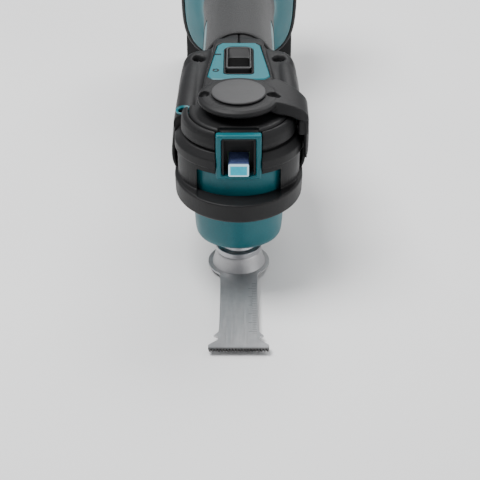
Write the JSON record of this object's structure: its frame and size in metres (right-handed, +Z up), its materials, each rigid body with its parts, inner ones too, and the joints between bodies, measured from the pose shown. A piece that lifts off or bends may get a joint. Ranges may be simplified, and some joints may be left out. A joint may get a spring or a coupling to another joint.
{
  "type": "cordless oscillating multi-tool",
  "caption": "Cordless oscillating multi-tool: slim grip, angled head with work lamp, lock lever, plunge-cut blade and slide-on battery, with its drive and clamp inside.",
  "frame": {"origin": "middle of the bounding box at the bench, z = 0 under the clamp foot and the battery", "axes": "+Y runs from the blade tip to the battery, +X points to the side the lock lever is on, +Z is up along the spindle axis"},
  "size_m": [0.08, 0.37, 0.134],
  "materials": {
    "teal_plastic": "moulded, fine satin grain",
    "black_plastic": "moulded, fine matt grain",
    "grey_plastic": "moulded, fine matt grain",
    "black_rubber": "soft overmould, speckled grain",
    "blade_steel": "ground flat, light scratches",
    "ground_steel": "turned and ground",
    "cast_alloy": "die cast, bead blasted",
    "clear_lens": "clear, polished, lit from behind",
    "circuit_board": "solder mask",
    "red_insulation": "smooth wire insulation",
    "cell_sleeve": "shrink sleeve on a metal can"
  },
  "bodies": {
    "housing": {"gear_case": "cast_alloy", "spindle_bearing_lower": "ground_steel", "spindle_bearing_upper": "ground_steel", "spindle_seal": "black_rubber", "nose_cover": "teal_plastic", "head_cover": "teal_plastic", "head_guard": "black_plastic", "led_housing": "black_plastic", "led_lens": "clear_lens", "led_board": "circuit_board", "motor_housing": "black_plastic", "stator": "blade_steel", "motor_bearing_front": "ground_steel", "motor_bearing_rear": "ground_steel", "damper_left": "black_rubber", "damper_right": "black_rubber", "housing_left": "black_plastic", "housing_right": "black_plastic", "boss_screw": "ground_steel", "case_screw_left": "ground_steel", "case_screw_right": "ground_steel", "grip_sleeve": "black_rubber", "switch_bezel": "teal_plastic", "switch_unit": "grey_plastic", "controller": "cast_alloy", "speed_pot": "grey_plastic", "power_lead_red": "red_insulation", "power_lead_black": "black_plastic", "motor_lead": "red_insulation", "rear_cover": "teal_plastic", "rear_bumper": "black_rubber", "terminal_block": "black_plastic"},
    "rotor": {"rotor_shaft": "ground_steel", "rotor_core": "blade_steel", "fan": "grey_plastic", "eccentric_bearing": "ground_steel", "balance_weight": "blade_steel"},
    "output": {"spindle": "ground_steel", "swing_yoke": "ground_steel", "blade": "blade_steel"},
    "clamp": {"clamp_shaft": "ground_steel", "clamp_pin": "ground_steel", "clamp_spring": "ground_steel"},
    "jaw_right": {"clamp_jaw_right": "blade_steel"},
    "jaw_left": {"clamp_jaw_left": "blade_steel"},
    "lever": {"lock_lever": "black_plastic", "lever_cap": "grey_plastic", "lever_cam": "ground_steel"},
    "switch": {"switch_slider": "black_plastic", "switch_rod": "grey_plastic"},
    "dial": {"speed_dial": "black_plastic"},
    "battery": {"battery_cover": "black_plastic", "battery_tray": "grey_plastic", "battery_board": "circuit_board", "battery_cell_1": "cell_sleeve", "battery_cell_2": "cell_sleeve", "battery_cell_3": "cell_sleeve", "battery_cell_4": "cell_sleeve", "battery_cell_5": "cell_sleeve"},
    "latch": {"battery_latch": "grey_plastic"}
  },
  "joints": [
    {"name": "motor_spin", "type": "hinge", "parent": "housing", "child": "rotor", "pos_m": [0, -0.07, 0.075], "axis": [0, 1, 0], "continuous": true},
    {"name": "blade_swing", "type": "hinge", "parent": "housing", "child": "output", "pos_m": [0, -0.1, 0], "axis": [0, 0, 1], "range_deg": [-1.8, 1.8]},
    {"name": "lever_swing", "type": "hinge", "parent": "housing", "child": "lever", "pos_m": [0, -0.1, 0], "axis": [0, 0, -1], "range_deg": [0, 100]},
    {"name": "clamp_drop", "type": "slide", "parent": "output", "child": "clamp", "axis": [0, 0, -1], "range_m": [0, 0.003], "deforming": ["clamp_spring"]},
    {"name": "jaw_right_swing", "type": "hinge", "parent": "output", "child": "jaw_right", "pos_m": [0.0058, -0.1, 0.023], "axis": [0, 1, 0], "range_deg": [0, 6.5]},
    {"name": "jaw_left_swing", "type": "hinge", "parent": "output", "child": "jaw_left", "pos_m": [-0.0058, -0.1, 0.023], "axis": [0, -1, 0], "range_deg": [0, 6.5]},
    {"name": "switch_slide", "type": "slide", "parent": "housing", "child": "switch", "axis": [0, -1, 0], "range_m": [0, 0.007]},
    {"name": "dial_turn", "type": "hinge", "parent": "housing", "child": "dial", "pos_m": [0, 0.082, 0.0928], "axis": [1, 0, 0], "range_deg": [0, 270]},
    {"name": "battery_slide", "type": "slide", "parent": "housing", "child": "battery", "axis": [0, 0, -1], "range_m": [0, 0.12]},
    {"name": "latch_press", "type": "slide", "parent": "battery", "child": "latch", "axis": [0, 1, 0], "range_m": [0, 0.003], "stiffness_N_per_m": 800}
  ],
  "couplings": [
    {"joint": "clamp_drop", "follows": "lever_swing", "m_per_rad": 0.0017188},
    {"joint": "jaw_right_swing", "follows": "lever_swing", "ratio": 0.065},
    {"joint": "jaw_left_swing", "follows": "lever_swing", "ratio": 0.065}
  ]
}
